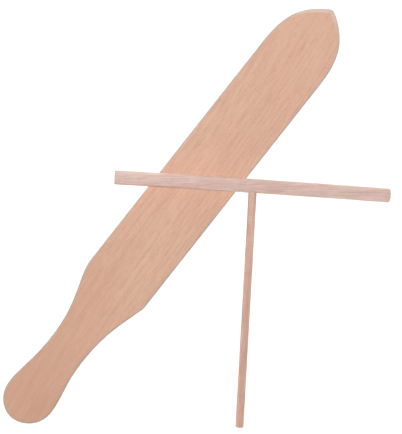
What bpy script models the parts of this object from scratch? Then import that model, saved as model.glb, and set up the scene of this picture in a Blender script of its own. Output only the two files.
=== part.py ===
"""A crepe set in beech: a long flat turning spatula with a T-shaped batter spreader lying across its blade.

Run it with blender --background --python part.py, or from Blender's text editor.
Metres, +Z up. +X runs along the spatula, from the end of its grip to the tip of its nose.
The origin is at the middle of the spatula's length, on its flat underside.
"""

from math import asin, atan2, cos, radians, sin

import bmesh
import bpy
from mathutils import Matrix, Vector

# The spatula is sawn from one board. Distances along it run from the end of the grip. The grip and the neck are
# shaped by hand, so their middles lie a little to one side.
SPATULA_LENGTH = 0.3842
BOARD_THICKNESS = 0.0040
GRIP_END_OFFSET = -0.0003
GRIP_X = 0.0212
GRIP_WIDTH = 0.0389
GRIP_OFFSET = -0.0011
NECK_X = 0.0633
NECK_WIDTH = 0.0298
NECK_OFFSET = -0.0006
SHOULDER_X = 0.1238
SHOULDER_ANGLE = radians(16.3)
BLADE_WIDTH = 0.0534
NOSE_START_X = 0.3352
NOSE_ANGLE = radians(57.7)

# How far the outline's curves run straight on before they bend, on either side of an anchor.
GRIP_END_PULL = 0.0088
GRIP_PULLS = (0.0136, 0.0114)
NECK_PULLS = (0.0189, 0.0266)
SHOULDER_PULLS = (0.0224, 0.0704)
NOSE_PULLS = (0.0704, 0.0257)
TIP_PULL = 0.0200

# Sanding: how far each corner and edge is taken back. The top edge is thinned more and more towards the tip.
SHOULDER_SOFTENING = {"+Y": 0.0053, "-Y": 0.0015}
TIP_SOFTENING = 0.0030
CORNER_PULL = 0.55
EDGE_SOFTENING = 0.0005
TIP_EDGE_SOFTENING = 0.0016
THINNING_START_X = 0.3500

# The spreader is a T: a crossbar, and a thinner handle glued into a blind hole in the middle of one of its sides.
# The hole is drilled a little out of square, so the handle leans towards the crossbar's low end.
CROSSBAR_DIAMETER = 0.0103
CROSSBAR_LENGTH = 0.2033
HANDLE_DIAMETER = 0.0060
HANDLE_REACH = 0.1790
HANDLE_SKEW = radians(0.7)
BORE_DEPTH = 0.0070
BORE_CLEARANCE = 0.0002
BORE_FLOOR_GAP = 0.0003
DOWEL_SOFTENING = 0.0004

# The crossbar leans on the blade's edge at -Y. Its far end and the handle's far end rest on the table.
CROSSBAR_CENTRE = (0.0532, -0.0338)
CROSSBAR_AZIMUTH = radians(-55.5)
REST_GAP = 0.0003

OUTLINE_STEPS = 14
DOWEL_SIDES = 48
BORE_SIDES = 32
SOFTENING_STEPS = 2
SHARP_ANGLE = radians(35.0)

COLOURS = {
    "spatula": (0.67, 0.41, 0.29),
    "crossbar": (0.64, 0.46, 0.38),
    "handle": (0.64, 0.42, 0.32),
}


def clear_scene():
    for leftover in list(bpy.data.objects):
        bpy.data.objects.remove(leftover)


def new_collection(name):
    collection = bpy.data.collections.new(name)
    bpy.context.scene.collection.children.link(collection)
    return collection


def beech(piece):
    """Bare sanded beech in the piece's own tone."""
    material = bpy.data.materials.new(piece + "_beech")
    material.use_nodes = True
    shader = material.node_tree.nodes["Principled BSDF"]
    shader.inputs["Base Color"].default_value = (*COLOURS[piece], 1.0)
    shader.inputs["Roughness"].default_value = 0.6
    shader.inputs["Metallic"].default_value = 0.0
    return material


def add_object(name, mesh, collection, material=None):
    piece = bpy.data.objects.new(name, mesh)
    collection.objects.link(piece)
    if material:
        mesh.materials.clear()
        mesh.materials.append(material)
    return piece


def smooth_shading(mesh):
    mesh.shade_smooth()
    mesh.set_sharp_from_angle(angle=SHARP_ANGLE)


# Spatula


def anchor(point, heading, pulls):
    """A smooth Bezier anchor: its point, the handle before it and the handle after it."""
    before, after = pulls
    return point, point - before * heading, point + after * heading


def softened_corner(corner, way_in, way_out, cut, pulls):
    """The two anchors that replace a sharp corner, each at a distance of cut from it."""
    before, after = pulls
    pull = CORNER_PULL * cut
    return [
        anchor(corner - cut * way_in, way_in, (before, pull)),
        anchor(corner + cut * way_out, way_out, (pull, after)),
    ]


def half_outline(side):
    """Anchors along one long side, from the grip to the nose. The first of the tip's two anchors ends it."""
    sign = {"+Y": 1, "-Y": -1}[side]
    forward = Vector((1, 0))
    flare = Vector((cos(SHOULDER_ANGLE), sign * sin(SHOULDER_ANGLE)))
    to_tip = Vector((cos(NOSE_ANGLE), -sign * sin(NOSE_ANGLE)))
    from_tip = Vector((-cos(NOSE_ANGLE), -sign * sin(NOSE_ANGLE)))

    blade_y = sign * BLADE_WIDTH / 2
    grip = Vector((GRIP_X, GRIP_OFFSET + sign * GRIP_WIDTH / 2))
    neck = Vector((NECK_X, NECK_OFFSET + sign * NECK_WIDTH / 2))
    shoulder = Vector((SHOULDER_X, blade_y))
    nose_start = Vector((NOSE_START_X, blade_y))
    # A softened corner's curve passes this share of the cut short of the sharp corner.
    lost = (1 + 3 * (1 - CORNER_PULL)) / 4 * TIP_SOFTENING * cos(NOSE_ANGLE)
    sharp_tip = Vector((SPATULA_LENGTH + lost, 0))

    tip_anchors = softened_corner(sharp_tip, to_tip, from_tip, TIP_SOFTENING, (TIP_PULL, TIP_PULL))
    return [
        anchor(grip, forward, GRIP_PULLS),
        anchor(neck, forward, NECK_PULLS),
        *softened_corner(shoulder, flare, forward, SHOULDER_SOFTENING[side], SHOULDER_PULLS),
        anchor(nose_start, forward, NOSE_PULLS),
        tip_anchors[0],
    ]


def spatula_outline():
    """The closed outline: round the grip's end, along the +Y side, round the tip and back along the -Y side."""
    grip_end = anchor(Vector((0, GRIP_END_OFFSET)), Vector((0, 1)), (GRIP_END_PULL, GRIP_END_PULL))
    way_back = [(point, after, before) for point, before, after in reversed(half_outline("-Y"))]
    return [grip_end, *half_outline("+Y"), *way_back]


def flat_board(name, anchors, thickness):
    """A curve filled on both sides: a board of that outline, lying on z = 0."""
    curve = bpy.data.curves.new(name, "CURVE")
    curve.dimensions = "2D"
    curve.fill_mode = "BOTH"
    curve.extrude = thickness / 2
    curve.resolution_u = OUTLINE_STEPS
    spline = curve.splines.new("BEZIER")
    spline.bezier_points.add(len(anchors) - 1)
    spline.use_cyclic_u = True
    for bezier, (point, before, after) in zip(spline.bezier_points, anchors):
        bezier.handle_left_type = bezier.handle_right_type = "FREE"
        bezier.co = (*point, 0)
        bezier.handle_left = (*before, 0)
        bezier.handle_right = (*after, 0)
    board = bpy.data.objects.new(name, curve)
    board.location = (-SPATULA_LENGTH / 2, 0, thickness / 2)
    return board


def as_welded_mesh(curve_object, collection):
    """The curve object made a mesh, with its caps welded to its sides and each cap one face."""
    collection.objects.link(curve_object)
    graph = bpy.context.evaluated_depsgraph_get()
    mesh = bpy.data.meshes.new_from_object(curve_object.evaluated_get(graph))
    shape = bmesh.new()
    shape.from_mesh(mesh)
    bmesh.ops.remove_doubles(shape, verts=shape.verts, dist=1e-6)
    for up in (1, -1):
        cap = [face for face in shape.faces if face.normal.z * up > 0.9]
        bmesh.ops.dissolve_faces(shape, faces=cap)
    shape.to_mesh(mesh)
    shape.free()
    mesh.transform(curve_object.matrix_world)
    bpy.data.objects.remove(curve_object)
    return mesh


def softening_at(x, z):
    """How much of the board's edge is sanded away at this place on its outline."""
    if z < BOARD_THICKNESS / 2:
        return EDGE_SOFTENING
    from_grip = x + SPATULA_LENGTH / 2
    share = max(0.0, (from_grip - THINNING_START_X) / (SPATULA_LENGTH - THINNING_START_X))
    return EDGE_SOFTENING + share * (TIP_EDGE_SOFTENING - EDGE_SOFTENING)


def soften_board_edges(board):
    """A Bevel round both faces, whose width follows softening_at through the edges' weights."""
    mesh = board.data
    weights = mesh.attributes.new("bevel_weight_edge", "FLOAT", "EDGE")
    for edge in mesh.edges:
        ends = [mesh.vertices[index].co for index in edge.vertices]
        if abs(ends[0].z - ends[1].z) > BOARD_THICKNESS / 2:
            continue
        middle = (ends[0] + ends[1]) / 2
        weights.data[edge.index].value = softening_at(middle.x, middle.z) / TIP_EDGE_SOFTENING
    bevel = board.modifiers.new("sanded_edges", "BEVEL")
    bevel.limit_method = "WEIGHT"
    bevel.width = TIP_EDGE_SOFTENING
    bevel.segments = SOFTENING_STEPS


def make_spatula(collection):
    outline = flat_board("spatula_outline", spatula_outline(), BOARD_THICKNESS)
    mesh = as_welded_mesh(outline, collection)
    spatula = add_object("spatula", mesh, collection, beech("spatula"))
    soften_board_edges(spatula)
    smooth_shading(mesh)


# Spreader


def dowel(name, diameter, start, end, sides, collection, material=None):
    """A round bar between two points of the spreader's own frame."""
    bpy.ops.mesh.primitive_cylinder_add(vertices=sides, radius=diameter / 2, depth=(end - start).length)
    bar = bpy.context.object
    mesh = bar.data
    turn = (end - start).to_track_quat("Z", "Y").to_matrix().to_4x4()
    mesh.transform(Matrix.Translation((start + end) / 2) @ turn)
    bpy.data.objects.remove(bar)
    mesh.name = name
    return add_object(name, mesh, collection, material)


def soften_dowel_ends(bar):
    bevel = bar.modifiers.new("sanded_ends", "BEVEL")
    bevel.limit_method = "ANGLE"
    bevel.angle_limit = SHARP_ANGLE
    bevel.width = DOWEL_SOFTENING
    bevel.segments = SOFTENING_STEPS
    smooth_shading(bar.data)


def spreader_frame(collection):
    """The empty at the middle of the crossbar: its X runs along the crossbar, and its -Y on the handle's side."""
    radius = CROSSBAR_DIAMETER / 2
    from_blade = (CROSSBAR_CENTRE[1] + BLADE_WIDTH / 2) / sin(CROSSBAR_AZIMUTH)
    lean = atan2(BOARD_THICKNESS + REST_GAP, CROSSBAR_LENGTH / 2 + from_blade)
    height = CROSSBAR_LENGTH / 2 * sin(lean) + radius * cos(lean)
    handle_drop = (height - HANDLE_DIAMETER / 2) / HANDLE_REACH
    tilt = asin((handle_drop - sin(lean) * sin(HANDLE_SKEW)) / (cos(lean) * cos(HANDLE_SKEW)))
    frame = bpy.data.objects.new("spreader", None)
    frame.location = (*CROSSBAR_CENTRE, height)
    frame.rotation_euler = (tilt, lean, CROSSBAR_AZIMUTH)
    collection.objects.link(frame)
    return frame


def along_handle(distance):
    """A point on the handle's axis in the spreader's own frame, at a distance out from the crossbar's axis."""
    return distance * Vector((sin(HANDLE_SKEW), -cos(HANDLE_SKEW), 0))


def make_crossbar(frame, collection, cutters):
    half = CROSSBAR_LENGTH / 2
    ends = Vector((-half, 0, 0)), Vector((half, 0, 0))
    crossbar = dowel("crossbar", CROSSBAR_DIAMETER, *ends, DOWEL_SIDES, collection, beech("crossbar"))
    crossbar.parent = frame
    soften_dowel_ends(crossbar)

    floor = along_handle(CROSSBAR_DIAMETER / 2 - BORE_DEPTH)
    mouth = along_handle(CROSSBAR_DIAMETER)
    width = HANDLE_DIAMETER + 2 * BORE_CLEARANCE
    bore = dowel("handle_bore", width, mouth, floor, BORE_SIDES, cutters)
    bore.parent = frame
    bore.hide_render = True
    bore.display_type = "WIRE"
    cut = crossbar.modifiers.new("handle_bore", "BOOLEAN")
    cut.operation = "DIFFERENCE"
    cut.solver = "EXACT"
    cut.object = bore


def make_handle(frame, collection):
    ends = along_handle(CROSSBAR_DIAMETER / 2 + BORE_FLOOR_GAP - BORE_DEPTH), along_handle(HANDLE_REACH)
    handle = dowel("handle", HANDLE_DIAMETER, *ends, BORE_SIDES, collection, beech("handle"))
    handle.parent = frame
    soften_dowel_ends(handle)


def main():
    clear_scene()
    pieces = new_collection("crepe_spatula_set")
    cutters = new_collection("cutters")
    make_spatula(pieces)
    frame = spreader_frame(pieces)
    make_crossbar(frame, pieces, cutters)
    make_handle(frame, pieces)


main()
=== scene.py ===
"""Looks of the crepe set: beech grain, sanded edges, the nose's bevel, turned dowels with end grain.

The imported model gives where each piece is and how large. The spatula's outline repeats the CAD board's
anchors, and each dowel is turned between the ends of its CAD node. Metres, +Z up. The grain runs along
each piece's own X.
"""

import bmesh
import bpy
import numpy as np
from mathutils import Matrix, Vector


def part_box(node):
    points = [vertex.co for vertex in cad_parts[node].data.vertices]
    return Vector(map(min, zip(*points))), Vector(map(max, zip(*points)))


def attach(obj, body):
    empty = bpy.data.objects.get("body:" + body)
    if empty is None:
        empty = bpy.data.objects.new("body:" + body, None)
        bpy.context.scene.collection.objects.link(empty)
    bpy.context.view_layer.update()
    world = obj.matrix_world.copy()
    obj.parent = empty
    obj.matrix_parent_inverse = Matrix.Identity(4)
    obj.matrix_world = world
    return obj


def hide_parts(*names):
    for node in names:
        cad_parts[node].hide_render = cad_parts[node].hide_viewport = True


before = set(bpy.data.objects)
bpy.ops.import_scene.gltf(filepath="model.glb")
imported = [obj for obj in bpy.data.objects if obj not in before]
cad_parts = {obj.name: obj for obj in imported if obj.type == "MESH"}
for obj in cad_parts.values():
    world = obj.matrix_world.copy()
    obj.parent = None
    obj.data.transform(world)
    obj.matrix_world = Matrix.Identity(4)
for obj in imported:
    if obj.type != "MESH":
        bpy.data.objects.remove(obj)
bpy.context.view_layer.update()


def colour(red, green, blue):
    """A linear colour with full alpha."""
    return (red, green, blue, 1.0)


# Outline of the spatula. Distances run from the end of the grip; the pulls are lengths of Bezier handles.
GRIP_END_OFFSET = -0.0003
GRIP_X = 0.0212
GRIP_WIDTH = 0.0389
GRIP_OFFSET = -0.0011
NECK_X = 0.0633
NECK_WIDTH = 0.0298
NECK_OFFSET = -0.0006
SHOULDER_X = 0.1238
SHOULDER_ANGLE = np.radians(16.3)
NOSE_START_X = 0.3352
NOSE_ANGLE = np.radians(57.7)
GRIP_END_PULL = 0.0088
GRIP_PULLS = (0.0136, 0.0114)
NECK_PULLS = (0.0189, 0.0266)
SHOULDER_PULLS = (0.0224, 0.0704)
NOSE_PULLS = (0.0704, 0.0257)
TIP_PULL = 0.0200
SHOULDER_SOFTENING = {1: 0.0053, -1: 0.0015}
TIP_SOFTENING = 0.0030
CORNER_PULL = 0.55
OUTLINE_STEPS = (48, 36, 40, 8, 70, 56, 14)

# Sanded edges, each a width across the face and a depth: along most of the board's top, at the tip's bevel,
# and round the underside. The bevel's rounding is flatter, and starts further along on the -Y side.
TOP_EDGE = (0.0016, 0.0009)
TIP_BEVEL = (0.0032, 0.0013)
BEVEL_START_X = {1: 0.352, -1: 0.364}
BEVEL_FLATNESS = 0.7
UNDERSIDE_EDGE = (0.0005, 0.0005)
EDGE_RINGS = 10
FACE_COLUMNS = 12
WALL_ROWS = 3

# Hand sanding makes an edge wider and narrower by this share, in waves of (strength, radians per metre,
# phase).
SANDING_UNEVENNESS = 0.12
SANDING_WAVES = ((0.6, 410.0, 1.0), (0.4, 1130.0, 2.7))

# Planing leaves ripples along the board, whose crests sway a little across it. The sway is in radians, and
# the rates are in radians per metre.
PLANING_HEIGHT = 0.00002
PLANING_RATE = 300.0
PLANING_SWAY = 1.3
PLANING_SWAY_RATE = 120.0

# Sanding and painted edge shade, from 0 to 1: on the board's wall, and half-way round a dowel's rim.
WALL_SANDED_AND_SHADED = 0.4
RIM_SANDED_AND_SHADED = 0.35

# Dowels: how far each end is rounded over, and how far the crossbar bows to the handle's side.
CROSSBAR_ENDS = (0.0004, 0.0013)
HANDLE_ENDS = (0.0002, 0.0006)
CROSSBAR_BOW = 0.00045
DOWEL_SIDES = 72
DOWEL_STATIONS = 90
END_FACE_RINGS = 5

# A dowel from a moulding machine isn't quite round. It is flatter one way by this share, and its oval turns
# slowly along it.
OVAL_FLATNESS = 0.006
OVAL_TURN = 9.0

# The hole for the handle goes through the crossbar's side. It is this much wider than the handle all round,
# and this much deeper, and the drill reaches well past the side.
BORE_CLEARANCE = 0.0001
BORE_FLOOR_GAP = 0.0003
DRILL_REACH = 0.02

# Points this near a CAD dowel's furthest ones are on its end face, and points this close together are one.
END_FACE_TOLERANCE = 1e-5
MERGE_DISTANCE = 1e-7

# Patterns in the wood. A scale is a number of cells per metre along, across and through it.
WANDER_SCALE = (5.0, 38.0, 38.0)
BREAK_SCALE = (95.0, 430.0, 430.0)
LINE_SCALE = (50.0, 640.0, 640.0)
FIBRE_SCALE = (110.0, 1500.0, 1500.0)
GRIT_SCALE = (800.0, 1700.0, 1700.0)
STREAK_SCALE = (9.0, 160.0, 160.0)
PATCH_SCALE = (14.0, 36.0, 36.0)
FLUSH_SCALE = (22.0, 60.0, 60.0)
FLECK_SCALE = (400.0, 1600.0, 1600.0)
VESSEL_SCALE = (40.0, 5200.0, 5200.0)
PORE_SCALE = (450.0, 6500.0, 6500.0)
FINE_DETAIL = 3.0
COARSE_DETAIL = 1.0
FIBRE_GRAININESS = 0.65

# A range is the values between which a pattern goes smoothly from none to all.
RING_RISE = (0.3, 0.9)
RING_FALL = (1.0, 0.93)
BREAK_RANGE = (0.38, 0.62)
FLUSH_RANGE = (0.35, 0.65)
FLECK_RANGE = (0.45, 0.2)
VESSEL_RANGE = (0.5, 0.68)
END_GRAIN_RANGE = (0.55, 0.95)
# The next range is where the painted shade along the edges comes in, by how sanded they are.
EDGE_SHADE_RANGE = (0.0, 0.65)

# Where along the board the figure goes from calm to full strength, in metres from its middle, and how far
# the growth rings stray from circles round the pith.
CALM_STRETCH = (-0.13, -0.03)
RING_WANDER = 0.006

# The share of cells with a fleck in them, and the averages that each pattern's tone is added about.
FLECK_SHARE = 0.45
FLECK_AVERAGE = 0.1
RING_AVERAGE = 0.2
NOISE_AVERAGE = 0.5
MIDDLE_TONE = 0.5

# Tones laid over the wood, and how strongly.
# Painted shade: a darker, greyer tint along the rounded edges and rims, standing in for the shade where they
# turn away from the light.
EDGE_SHADE_TINT = colour(0.71, 1.0, 1.28)
BEVEL_TONE = colour(0.68, 0.48, 0.39)
BEVEL_PALENESS = 0.65
END_TONE = colour(0.42, 0.25, 0.17)
END_TONE_SHARE = 0.75
END_VESSELS = 0.35
END_RINGS = 0.5

ROUGHNESS = 0.56
FIBRE_ROUGHNESS = 0.25
END_GRAIN_ROUGHNESS = 0.15
SANDED_ROUGHNESS = 0.06
WOOD_SPECULAR = 0.35
PORE_HEIGHT = 0.4
FLECK_HEIGHT = -0.5
BUMP_STRENGTH = 0.35
BUMP_DEPTH = 0.00006

# Each piece's own wood. Its tone goes from light to dark by the depth of each pattern, and by a drift
# for each metre along it, which is partly the wood's own change and partly painted light: the piece is
# lighter towards one end, as if the light fell off along it. Up to the start of CALM_STRETCH its figure is
# only as strong as calm says. Flush is the tint of its pinkish stretches. The grain drifts across the piece
# by slope, and by more towards its ends where there is a bend. The pith is a place across and through the
# wood, below a flat-sawn surface.
BOARD_LOOK = {
    "name": "spatula_beech",
    "light": colour(0.586, 0.354, 0.244),
    "dark": colour(0.462, 0.256, 0.164),
    "pith": (0.006, -0.034),
    "slope": 0.035,
    "bend": 1.07,
    "ring_spacing": 0.0016,
    "tone_and_light_drift": -2.0,
    "calm": 0.6,
    "ring_depth": 0.28,
    "line_depth": 0.95,
    "fibre_depth": 0.7,
    "grit_depth": 0.35,
    "streak_depth": 0.3,
    "patch_depth": 0.5,
    "fleck_depth": 0.6,
    "flush": colour(1.0, 0.965, 0.975),
}
CROSSBAR_LOOK = {
    **BOARD_LOOK,
    "name": "crossbar_beech",
    "light": colour(0.620, 0.475, 0.414),
    "dark": colour(0.412, 0.284, 0.235),
    "pith": (0.020, -0.030),
    "slope": 0.08,
    "bend": 0.0,
    "tone_and_light_drift": 0.6,
    "calm": 1.0,
    "streak_depth": 0.7,
    "patch_depth": 0.3,
    "fleck_depth": 0.25,
    "flush": colour(1.0, 0.94, 0.955),
}
HANDLE_LOOK = {
    **BOARD_LOOK,
    "name": "handle_beech",
    "light": colour(0.584, 0.388, 0.303),
    "dark": colour(0.413, 0.249, 0.192),
    "pith": (-0.030, -0.020),
    "slope": 0.02,
    "bend": 0.0,
    "tone_and_light_drift": 2.2,
    "calm": 1.0,
}

# The floor glows a little, like a light table, so that soft shadows on it stay white.
FLOOR_SIZE = 6.0
FLOOR_DROP = 0.0002
FLOOR_COLOUR = colour(0.9, 0.9, 0.9)
FLOOR_ROUGHNESS = 0.9
FLOOR_SPECULAR = 0.1
FLOOR_GLOW = 0.1
WHITE = colour(1.0, 1.0, 1.0)

# The picture is taken from straight above, with the spatula's +X turned this far from the picture's right.
SPATULA_TURN = np.radians(51.75)
PICTURE_UP = np.array((np.sin(SPATULA_TURN), np.cos(SPATULA_TURN)))
PICTURE_LEFT = np.array((-np.cos(SPATULA_TURN), np.sin(SPATULA_TURN)))
PICTURE_CENTRE = np.array((0.0116, -0.0180))
PICTURE_HEIGHT = 0.3212
CAMERA_HEIGHT = 0.85
CAMERA_CLIP = (0.01, 20.0)
SENSOR_HEIGHT = 24.0

# The walls fade into the ceiling between WALL_TOP and twice that, as sines of the angle above the horizon.
# They are brighter on one side by the share WALL_LEAN, and dimmer on the other.
WALL_TOP = 0.06
WALL_GLOW = 9.0
WALL_LEAN = 0.3
CEILING_GLOW = 0.2
SOFT_BOX_SIZE = 0.08
SOFT_BOX_LEFT = 0.04
SOFT_BOX_HEIGHT = 1.5
SOFT_BOX_POWER = 21.1


# Frames and CAD dowels


def unit(vector):
    return vector / np.linalg.norm(vector)


def dowel_line(node):
    """The centres of a CAD dowel's two end faces, and its radius."""
    points = np.array([vertex.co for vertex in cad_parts[node].data.vertices], float)
    along = np.linalg.svd(points - points.mean(axis=0), full_matrices=False)[2][0]
    reach = points @ along
    first = points[reach < reach.min() + END_FACE_TOLERANCE].mean(axis=0)
    last = points[reach > reach.max() - END_FACE_TOLERANCE].mean(axis=0)
    off_line = points - first
    off_line -= np.outer(off_line @ along, along)
    return first, last, np.linalg.norm(off_line, axis=1).max()


def axes_matrix(origin, x_axis, up):
    """A frame at origin whose X is x_axis and whose Z is as near as it can be to up."""
    x_axis = unit(x_axis)
    y_axis = unit(np.cross(up, x_axis))
    matrix = Matrix.Identity(4)
    for column, axis in enumerate((x_axis, y_axis, np.cross(x_axis, y_axis), origin)):
        for row in range(3):
            matrix[row][column] = axis[row]
    return matrix


# Meshes


def tube_mesh(name, rings, attributes=()):
    """A closed mesh of rings of points, each joined to the next. Points that fall together are merged."""
    stations, around = rings.shape[:2]
    index = np.arange(stations * around).reshape(stations, around)
    here, there = index[:-1], index[1:]
    quads = np.stack([here, there, np.roll(there, -1, axis=1), np.roll(here, -1, axis=1)], axis=-1)
    mesh = bpy.data.meshes.new(name)
    mesh.from_pydata(rings.reshape(-1, 3).tolist(), [], quads.reshape(-1, 4).tolist())
    for attribute, values in attributes:
        mesh.attributes.new(attribute, "FLOAT", "POINT").data.foreach_set("value", values.ravel())
    shape = bmesh.new()
    shape.from_mesh(mesh)
    bmesh.ops.remove_doubles(shape, verts=shape.verts, dist=MERGE_DISTANCE)
    bmesh.ops.recalc_face_normals(shape, faces=shape.faces)
    shape.to_mesh(mesh)
    shape.free()
    mesh.shade_smooth()
    return mesh


def circle_angles():
    return np.linspace(0, 2 * np.pi, DOWEL_SIDES, endpoint=False)[None, :]


# Spatula


def bezier(first, last, steps, stop=1.0):
    """Points and unit tangents along the curve from one anchor to the next, leaving out its last point."""
    t = np.linspace(0, stop, steps, endpoint=False)[:, None]
    a, b, c, d = first[0], first[2], last[1], last[0]
    points = (1 - t) ** 3 * a + 3 * (1 - t) ** 2 * t * b + 3 * (1 - t) * t**2 * c + t**3 * d
    tangents = (1 - t) ** 2 * (b - a) + 2 * (1 - t) * t * (c - b) + t**2 * (d - c)
    return points, tangents / np.linalg.norm(tangents, axis=1, keepdims=True)


def anchor(point, heading, pulls):
    """A smooth Bezier anchor: its point, the handle before it and the handle after it."""
    point, heading = np.array(point, float), np.array(heading, float)
    return point, point - pulls[0] * heading, point + pulls[1] * heading


def softened_corner(corner, way_in, way_out, cut, pulls):
    """The two anchors that replace a sharp corner, each at a distance of cut from it."""
    corner, way_in, way_out = np.array(corner), np.array(way_in), np.array(way_out)
    pull = CORNER_PULL * cut
    return [
        anchor(corner - cut * way_in, way_in, (pulls[0], pull)),
        anchor(corner + cut * way_out, way_out, (pull, pulls[1])),
    ]


def side_anchors(side, length, width):
    """The outline's anchors along one long side, +1 at +Y, from the grip's end to just past the tip."""
    forward = (1.0, 0.0)
    flare = (np.cos(SHOULDER_ANGLE), side * np.sin(SHOULDER_ANGLE))
    to_tip = (np.cos(NOSE_ANGLE), -side * np.sin(NOSE_ANGLE))
    from_tip = (-np.cos(NOSE_ANGLE), -side * np.sin(NOSE_ANGLE))
    shoulder = (SHOULDER_X, side * width / 2)
    # The rounded tip passes this far short of the sharp corner.
    lost = (1 + 3 * (1 - CORNER_PULL)) / 4 * TIP_SOFTENING * np.cos(NOSE_ANGLE)
    return [
        anchor((0, GRIP_END_OFFSET), (0, side), (GRIP_END_PULL, GRIP_END_PULL)),
        anchor((GRIP_X, GRIP_OFFSET + side * GRIP_WIDTH / 2), forward, GRIP_PULLS),
        anchor((NECK_X, NECK_OFFSET + side * NECK_WIDTH / 2), forward, NECK_PULLS),
        *softened_corner(shoulder, flare, forward, SHOULDER_SOFTENING[side], SHOULDER_PULLS),
        anchor((NOSE_START_X, side * width / 2), forward, NOSE_PULLS),
        *softened_corner((length + lost, 0), to_tip, from_tip, TIP_SOFTENING, (TIP_PULL, TIP_PULL)),
    ]


def board_side(side, length, width):
    """Points of the outline along one long side, from the grip's end to the tip, and inward normals."""
    anchors = side_anchors(side, length, width)
    # The last curve is rounded over the tip, and this side has the first half of it.
    stops = [1.0] * (len(anchors) - 2) + [0.5]
    curves = zip(anchors, anchors[1:], OUTLINE_STEPS, stops)
    parts = [bezier(first, last, steps, stop) for first, last, steps, stop in curves]
    points = np.vstack([*(part[0] for part in parts), [[length, 0.0]]])
    tangents = np.vstack([*(part[1] for part in parts), [[0.0, -side]]])
    return points, side * np.column_stack([tangents[:, 1], -tangents[:, 0]])


def sanding(distance, seed):
    """A slow unevenness, about -1 to 1, along a length in metres."""
    return sum(strength * np.sin(distance * rate + phase * seed) for strength, rate, phase in SANDING_WAVES)


def softened_ring(points, inward, sizes, roundness, side):
    """Rings from the wall to the flat face: places in plan, depths, and softening from 1 down to 0."""
    angle = np.linspace(0, np.pi / 2, EDGE_RINGS + 1)[None, :]
    across = sizes[:, :1] * (1 - np.cos(angle) ** roundness[:, None])
    depth = sizes[:, 1:] * (1 - np.sin(angle) ** roundness[:, None])
    place = points[:, None, :] + across[:, :, None] * inward[:, None, :]
    # No ring of this side goes past the middle, except where the grip's end itself lies past it.
    centre_line = np.minimum(side * points[:, None, 1], 0) * side
    place[:, :, 1] = side * np.maximum(side * place[:, :, 1], side * centre_line)
    return place, depth, np.cos(angle) + 0 * across


def board_face(sides, sizes, roundness):
    """One face of the board, from its +Y to its -Y edge: places in plan, depths, and softening."""
    parts = []
    for (side, (points, inward)), size, power in zip(sides.items(), sizes, roundness):
        parts.append(softened_ring(points, inward, size, power, side))
    share = np.linspace(0, 1, FACE_COLUMNS + 1)[None, 1:-1, None]
    inner = parts[0][0][:, -1:] * (1 - share) + parts[1][0][:, -1:] * share
    flat = np.zeros(inner.shape[:2])
    places = np.concatenate([parts[0][0], inner, parts[1][0][:, ::-1]], axis=1)
    depths = np.concatenate([parts[0][1], flat, parts[1][1][:, ::-1]], axis=1)
    softened = np.concatenate([parts[0][2], flat, parts[1][2][:, ::-1]], axis=1)
    return places, depths, softened


def top_edge(points, side, length):
    """How far the tip's bevel has set in along one side, 0 to 1, and the top edge's width and depth."""
    start = BEVEL_START_X[side]
    share = np.clip((points[:, 0] - start) / (length - start), 0, 1)
    bevel = share * share * (3 - 2 * share)
    size = np.outer(1 - bevel, TOP_EDGE) + np.outer(bevel, TIP_BEVEL)
    # Both sides meet at the ends of the board, so the unevenness fades out there.
    unevenness = SANDING_UNEVENNESS * np.sin(np.pi * points[:, :1] / length)
    return bevel, size * (1 + unevenness * sanding(points[:, :1], side))


def make_board():
    """The spatula: a loft of cross-sections along X, each a loop over its top, walls and underside."""
    low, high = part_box("spatula")
    length, width, thickness = high - low
    sides = {side: board_side(side, length, width) for side in (1, -1)}

    edges = [top_edge(points, side, length) for side, (points, _) in sides.items()]
    bevels = [bevel for bevel, _ in edges]
    top_sizes = [size for _, size in edges]
    top_roundness = [1 + BEVEL_FLATNESS * bevel for bevel in bevels]
    top, top_depth, top_soft = board_face(sides, top_sizes, top_roundness)
    under_sizes = [np.ones_like(size) * UNDERSIDE_EDGE for size in top_sizes]
    under_roundness = [np.ones(len(bevel)) for bevel in bevels]
    under, under_depth, under_soft = board_face(sides, under_sizes, under_roundness)

    sway = PLANING_SWAY * np.sin(top[:, :, 1] * PLANING_SWAY_RATE)
    ripples = PLANING_HEIGHT * np.sin(top[:, :, 0] * PLANING_RATE + sway)
    top_z = thickness - top_depth - PLANING_HEIGHT + ripples * (1 - top_soft)
    top = np.dstack([top, top_z])
    under = np.dstack([under, under_depth])[:, ::-1]
    down = np.linspace(0, 1, WALL_ROWS + 1)[None, 1:-1, None]
    right_wall = top[:, -1:] * (1 - down) + under[:, :1] * down
    left_wall = under[:, -1:] * (1 - down) + top[:, :1] * down
    rings = np.concatenate([top, right_wall, under, left_wall], axis=1)
    rings += np.array([low.x, 0, low.z])

    # The sanding here also sets the painted edge shade: on the rounded top and underside edges, and on the
    # walls.
    wall_sanded_and_shaded = np.full(right_wall.shape[:2], WALL_SANDED_AND_SHADED)
    sanded_and_shaded = np.concatenate([top_soft, wall_sanded_and_shaded, under_soft[:, ::-1], wall_sanded_and_shaded], axis=1)
    # The bevel's pale band fades out towards both the wall and the flat face.
    columns = top.shape[1]
    bevel = np.zeros(rings.shape[:2])
    bevel[:, : columns // 2] = bevels[0][:, None]
    bevel[:, columns // 2 : columns] = bevels[1][:, None]
    bevel[:, :columns] *= 4 * top_soft * (1 - top_soft)
    mesh = tube_mesh("spatula_board", rings, [("sanded_and_shaded", sanded_and_shaded), ("bevel", bevel)])
    return bpy.data.objects.new("spatula_board", mesh)


# Spreader


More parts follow.
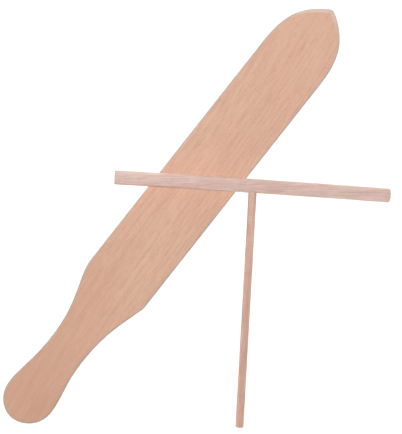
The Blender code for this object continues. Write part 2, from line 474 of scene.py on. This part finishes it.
def turned_profile(length, radius, end_sizes):
    """Distance along a dowel, radius, and sanding with painted edge shade, from one end face's middle to the
    other's.
    """
    first, last = end_sizes
    shares = np.linspace(0, 1, END_FACE_RINGS, endpoint=False)
    rows = [(0.0, share * (radius - first), 0.0) for share in shares]
    for a in np.linspace(0, np.pi / 2, EDGE_RINGS + 1):
        inset = first * (1 - np.sin(a))
        rows.append((first * (1 - np.cos(a)), radius - inset, RIM_SANDED_AND_SHADED * np.sin(2 * a)))
    for x in np.linspace(first, length - last, DOWEL_STATIONS)[1:-1]:
        rows.append((x, radius, 0.0))
    for a in np.linspace(np.pi / 2, 0, EDGE_RINGS + 1):
        inset = last * (1 - np.sin(a))
        rows.append((length - last * (1 - np.cos(a)), radius - inset, RIM_SANDED_AND_SHADED * np.sin(2 * a)))
    rows += [(length, share * (radius - last), 0.0) for share in shares[::-1]]
    return np.array(rows)


def make_dowel(name, node, end_sizes, up, bow=0.0, flip=False):
    """A turned dowel between the ends of a CAD node, with its own X along it."""
    start, end, radius = dowel_line(node)
    if flip:
        start, end = end, start
    length = np.linalg.norm(end - start)
    profile = turned_profile(length, radius, end_sizes)
    angle = circle_angles()
    x, r = profile[:, :1], profile[:, 1:2]
    # The rim's sanding also sets its painted edge shade.
    sanded_and_shaded = profile[:, 2:] + 0 * angle
    r = r * (1 - OVAL_FLATNESS * (1 + np.cos(2 * angle + OVAL_TURN * x)) / 2)
    bend = bow * (2 * x / length - 1) ** 2
    rings = np.dstack([x + 0 * angle, r * np.cos(angle) - bend, r * np.sin(angle)])
    piece = bpy.data.objects.new(name, tube_mesh(name, rings, [("sanded_and_shaded", sanded_and_shaded)]))
    piece.matrix_world = axes_matrix(start, end - start, up)
    return piece


def drill(piece, start, way_out, radius, up):
    """Cuts a round hole in a piece that is in the scene, from a point inside it out along a direction."""
    profile = np.array([(0.0, 0.0), (0.0, radius), (DRILL_REACH, radius), (DRILL_REACH, 0.0)])
    angle = circle_angles()
    x, r = profile[:, :1], profile[:, 1:]
    rings = np.dstack([x + 0 * angle, r * np.cos(angle), r * np.sin(angle)])
    cutter = bpy.data.objects.new("hole", tube_mesh("hole", rings))
    cutter.matrix_world = axes_matrix(start, way_out, up)
    bpy.context.scene.collection.objects.link(cutter)

    hole = piece.modifiers.new("hole", "BOOLEAN")
    hole.object = cutter
    evaluated = piece.evaluated_get(bpy.context.evaluated_depsgraph_get())
    drilled = bpy.data.meshes.new_from_object(evaluated)
    piece.modifiers.clear()
    piece.data = drilled
    bpy.data.objects.remove(cutter)


# Materials


class Graph:
    """The node tree of a material or a world. All methods but feed add a node and give back its output."""

    def __init__(self, owner, shader):
        owner.use_nodes = True
        self.owner = owner
        self.nodes = owner.node_tree.nodes
        self.links = owner.node_tree.links
        self.shader = self.nodes[shader]

    def feed(self, socket, value):
        if isinstance(value, bpy.types.NodeSocket):
            self.links.new(value, socket)
        else:
            socket.default_value = value

    def add(self, kind, output, inputs, **settings):
        node = self.nodes.new(kind)
        for setting, value in settings.items():
            setattr(node, setting, value)
        for socket, value in inputs.items():
            self.feed(node.inputs[socket], value)
        return node.outputs if output is None else node.outputs[output]

    def math(self, operation, *values):
        return self.add("ShaderNodeMath", 0, dict(enumerate(values)), operation=operation)

    def smooth(self, value, low, high, to_low=0.0, to_high=1.0):
        """value taken smoothly from to_low at low to to_high at high."""
        inputs = {"Value": value, "From Min": low, "From Max": high, "To Min": to_low, "To Max": to_high}
        return self.add("ShaderNodeMapRange", 0, inputs, interpolation_type="SMOOTHSTEP")

    def point(self, x, y, z):
        return self.add("ShaderNodeCombineXYZ", 0, {0: x, 1: y, 2: z})

    def split(self, vector):
        return list(self.add("ShaderNodeSeparateXYZ", None, {0: vector}))

    def scaled(self, vector, scale):
        return self.add("ShaderNodeVectorMath", 0, {0: vector, 1: scale}, operation="MULTIPLY")

    def dot(self, first, second):
        return self.add("ShaderNodeVectorMath", "Value", {0: first, 1: second}, operation="DOT_PRODUCT")

    def noise(self, vector, detail=2.0, roughness=0.5):
        inputs = {"Vector": vector, "Scale": 1.0, "Detail": detail, "Roughness": roughness}
        return self.add("ShaderNodeTexNoise", "Fac", inputs)

    def cells(self, vector, output):
        return self.add("ShaderNodeTexVoronoi", output, {"Vector": vector, "Scale": 1.0})

    def mix(self, share, first, second, blend="MIX"):
        # Inputs 0, 6 and 7 are the share and the two colours, and output 2 is the mixed colour.
        node = self.nodes.new("ShaderNodeMix")
        node.data_type = "RGBA"
        node.blend_type = blend
        for socket, value in ((0, share), (6, first), (7, second)):
            self.feed(node.inputs[socket], value)
        return node.outputs[2]

    def attribute(self, name):
        return self.add("ShaderNodeAttribute", "Fac", {}, attribute_name=name)


def material_graph(name):
    return Graph(bpy.data.materials.new(name), "Principled BSDF")


def grain_space(graph, slope, bend):
    """Position along, across and through the wood, and all three as a point. The grain is straight there."""
    place = graph.add("ShaderNodeTexCoord", "Object", {})
    x, y, z = graph.split(place)
    steepening = graph.math("MULTIPLY_ADD", graph.math("MULTIPLY", x, x), bend, slope)
    across = graph.math("MULTIPLY_ADD", graph.math("MULTIPLY", x, steepening), -1.0, y)
    return x, across, z, graph.point(x, across, z)


def growth_rings(graph, wood, pith, spacing):
    """The dark late wood of each year's ring, 0 to 1. The pith lies at (across, through)."""
    _, across, through, grain = wood
    side = graph.math("SUBTRACT", across, pith[0])
    deep = graph.math("SUBTRACT", through, pith[1])
    deep_squared = graph.math("MULTIPLY", deep, deep)
    radius = graph.math("SQRT", graph.math("MULTIPLY_ADD", side, side, deep_squared))
    wander = graph.noise(graph.scaled(grain, WANDER_SCALE), FINE_DETAIL)
    wandering = graph.math("MULTIPLY_ADD", wander, RING_WANDER, radius)
    ring = graph.math("FRACT", graph.math("DIVIDE", wandering, spacing))
    return graph.math("MULTIPLY", graph.smooth(ring, *RING_RISE), graph.smooth(ring, *RING_FALL))


def ray_flecks(graph, grain):
    """Short dark dashes along the grain, 0 to 1, in FLECK_SHARE of their cells."""
    cells = graph.scaled(grain, FLECK_SCALE)
    spot = graph.smooth(graph.cells(cells, "Distance"), *FLECK_RANGE)
    luck = graph.split(graph.cells(cells, "Color"))[0]
    return graph.math("MULTIPLY", spot, graph.math("LESS_THAN", luck, FLECK_SHARE))


def darker(graph, tone, depth, pattern, average=NOISE_AVERAGE):
    """The tone with a pattern added at that depth, about the pattern's average."""
    return graph.math("MULTIPLY_ADD", graph.math("SUBTRACT", pattern, average), depth, tone)


def long_grain(graph, look, wood, late_wood, fibres, flecks):
    """The colour of the wood along its grain."""
    along, grain = wood[0], wood[3]
    broken = graph.smooth(graph.noise(graph.scaled(grain, BREAK_SCALE)), *BREAK_RANGE)
    rings = graph.math("MULTIPLY", late_wood, broken)
    lines = graph.noise(graph.scaled(grain, LINE_SCALE))
    grit = graph.noise(graph.scaled(grain, GRIT_SCALE))
    streaks = graph.noise(graph.scaled(grain, STREAK_SCALE))
    patches = graph.noise(graph.scaled(grain, PATCH_SCALE))

    figure = darker(graph, 0.0, look["ring_depth"], rings, RING_AVERAGE)
    figure = darker(graph, figure, look["line_depth"], lines)
    figure = darker(graph, figure, look["fibre_depth"], fibres)
    figure = darker(graph, figure, look["grit_depth"], grit)
    figure = darker(graph, figure, look["fleck_depth"], flecks, FLECK_AVERAGE)
    strength = graph.smooth(along, *CALM_STRETCH, look["calm"], 1.0)
    # Painted light: the tone drifts along the piece, partly from the wood's own change and partly from light
    # falling off along it.
    tone = graph.math("MULTIPLY_ADD", along, look["tone_and_light_drift"], MIDDLE_TONE)
    tone = graph.math("MULTIPLY_ADD", figure, strength, tone)
    tone = darker(graph, tone, look["streak_depth"], streaks)
    tone = darker(graph, tone, look["patch_depth"], patches)
    base = graph.mix(tone, look["light"], look["dark"])
    flush = graph.smooth(graph.noise(graph.scaled(grain, FLUSH_SCALE)), *FLUSH_RANGE)
    return graph.mix(flush, base, graph.mix(1.0, base, look["flush"], "MULTIPLY"))


def beech(look):
    """Bare beech, smoothed by sanding: rings, fibres, ray flecks, pores, end grain, and painted shade along
    the edges.
    """
    graph = material_graph(look["name"])
    wood = grain_space(graph, look["slope"], look["bend"])
    grain = wood[3]
    late_wood = growth_rings(graph, wood, look["pith"], look["ring_spacing"])
    fibres = graph.noise(graph.scaled(grain, FIBRE_SCALE), FINE_DETAIL, FIBRE_GRAININESS)
    flecks = ray_flecks(graph, grain)
    base = long_grain(graph, look, wood, late_wood, fibres, flecks)

    # End grain is darker than long grain, and shows the rings as arcs and the vessels as dots.
    facing = graph.math("ABSOLUTE", graph.split(graph.add("ShaderNodeTexCoord", "Normal", {}))[0])
    end_grain = graph.smooth(facing, *END_GRAIN_RANGE)
    vessels = graph.smooth(graph.noise(graph.scaled(grain, VESSEL_SCALE), COARSE_DETAIL), *VESSEL_RANGE)
    end_rings = graph.math("MULTIPLY", late_wood, END_RINGS)
    pattern = graph.math("MULTIPLY_ADD", vessels, END_VESSELS, end_rings)
    end_share = graph.math("MULTIPLY", end_grain, END_TONE_SHARE)
    base = graph.mix(end_share, base, graph.mix(pattern, END_TONE, look["dark"]))

    # Painted shade: the sanding mask darkens and greys the rounded edges and rims, as shade. It also makes
    # them rougher.
    sanded_and_shaded = graph.attribute("sanded_and_shaded")
    edge_shade = graph.smooth(sanded_and_shaded, *EDGE_SHADE_RANGE)
    base = graph.mix(edge_shade, base, graph.mix(1.0, base, EDGE_SHADE_TINT, "MULTIPLY"))
    bevel = graph.math("MULTIPLY", graph.attribute("bevel"), BEVEL_PALENESS)
    base = graph.mix(bevel, base, BEVEL_TONE)

    roughness = darker(graph, ROUGHNESS, FIBRE_ROUGHNESS, fibres)
    roughness = graph.math("MULTIPLY_ADD", end_grain, END_GRAIN_ROUGHNESS, roughness)
    roughness = graph.math("MULTIPLY_ADD", sanded_and_shaded, SANDED_ROUGHNESS, roughness)

    pores = graph.noise(graph.scaled(grain, PORE_SCALE), COARSE_DETAIL)
    height = graph.math("MULTIPLY_ADD", pores, PORE_HEIGHT, fibres)
    height = graph.math("MULTIPLY_ADD", flecks, FLECK_HEIGHT, height)
    relief = {"Height": height, "Strength": BUMP_STRENGTH, "Distance": BUMP_DEPTH}
    bump = graph.add("ShaderNodeBump", 0, relief)

    graph.feed(graph.shader.inputs["Base Color"], base)
    graph.feed(graph.shader.inputs["Roughness"], roughness)
    graph.feed(graph.shader.inputs["Normal"], bump)
    graph.shader.inputs["Specular IOR Level"].default_value = WOOD_SPECULAR
    return graph.owner


# Floor, light and camera


def make_floor():
    bpy.ops.mesh.primitive_plane_add(size=FLOOR_SIZE, location=(0, 0, -FLOOR_DROP))
    floor = bpy.context.object
    floor.name = "floor"
    graph = material_graph("floor_white")
    graph.shader.inputs["Base Color"].default_value = FLOOR_COLOUR
    graph.shader.inputs["Roughness"].default_value = FLOOR_ROUGHNESS
    graph.shader.inputs["Specular IOR Level"].default_value = FLOOR_SPECULAR
    graph.shader.inputs["Emission Color"].default_value = WHITE
    graph.shader.inputs["Emission Strength"].default_value = FLOOR_GLOW
    floor.data.materials.append(graph.owner)


def make_walls():
    """Bright walls low down all round, brightest to the picture's upper left, under a dim ceiling."""
    graph = Graph(bpy.data.worlds.new("studio"), "Background")
    direction = graph.add("ShaderNodeTexCoord", "Generated", {})
    height = graph.split(direction)[2]
    strength = graph.smooth(height, WALL_TOP, 2 * WALL_TOP, WALL_GLOW, CEILING_GLOW)
    bright_side = unit(PICTURE_LEFT + PICTURE_UP)
    leaning = graph.math("MULTIPLY_ADD", graph.dot(direction, (*bright_side, 0.0)), WALL_LEAN, 1.0)
    graph.feed(graph.shader.inputs["Strength"], graph.math("MULTIPLY", strength, leaning))
    graph.shader.inputs["Color"].default_value = WHITE
    bpy.context.scene.world = graph.owner


def make_soft_box():
    """A lamp overhead, so near the camera's axis that shadows hide under the pieces."""
    lamp = bpy.data.lights.new("soft_box", "AREA")
    lamp.shape = "DISK"
    lamp.size = SOFT_BOX_SIZE
    lamp.energy = SOFT_BOX_POWER
    soft_box = bpy.data.objects.new("soft_box", lamp)
    soft_box.visible_camera = False
    soft_box.location = (*(PICTURE_CENTRE + SOFT_BOX_LEFT * PICTURE_LEFT), SOFT_BOX_HEIGHT)
    bpy.context.scene.collection.objects.link(soft_box)


def make_camera():
    """Straight above the table, turned so that the spatula points up and to the right."""
    lens = bpy.data.cameras.new("camera")
    lens.sensor_fit = "VERTICAL"
    lens.sensor_height = SENSOR_HEIGHT
    lens.lens = SENSOR_HEIGHT * CAMERA_HEIGHT / PICTURE_HEIGHT
    lens.clip_start, lens.clip_end = CAMERA_CLIP
    camera = bpy.data.objects.new("camera", lens)
    camera.location = (*PICTURE_CENTRE, CAMERA_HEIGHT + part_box("spatula")[1].z)
    camera.rotation_euler = (0, 0, -SPATULA_TURN)
    bpy.context.scene.collection.objects.link(camera)
    bpy.context.scene.camera = camera


# The whole set


def place(piece, look, body, node):
    """Puts a finished piece in the scene in place of its CAD node."""
    bpy.context.scene.collection.objects.link(piece)
    piece.data.materials.append(beech(look))
    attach(piece, body)
    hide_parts(node)


def make_spreader():
    """The crossbar, the handle, and the hole in the crossbar that the handle is glued in."""
    up = np.array((0.0, 0.0, 1.0))
    bar_start, bar_end, _ = dowel_line("crossbar")
    bar_flip = bar_start[1] < bar_end[1]
    bar = make_dowel("crossbar_dowel", "crossbar", CROSSBAR_ENDS, up, CROSSBAR_BOW, bar_flip)
    place(bar, CROSSBAR_LOOK, "spreader", "crossbar")

    middle = (bar_start + bar_end) / 2
    inner, outer, radius = dowel_line("handle")
    handle_flip = np.linalg.norm(inner - middle) > np.linalg.norm(outer - middle)
    if handle_flip:
        inner, outer = outer, inner
    handle = make_dowel("handle_dowel", "handle", HANDLE_ENDS, up, flip=handle_flip)
    place(handle, HANDLE_LOOK, "spreader", "handle")

    way_out = unit(outer - inner)
    drill(bar, inner - BORE_FLOOR_GAP * way_out, way_out, radius + BORE_CLEARANCE, up)


def main():
    place(make_board(), BOARD_LOOK, "spatula", "spatula")
    make_spreader()
    make_floor()
    make_walls()
    make_soft_box()
    make_camera()
    bpy.context.scene.view_settings.view_transform = "Standard"


main()
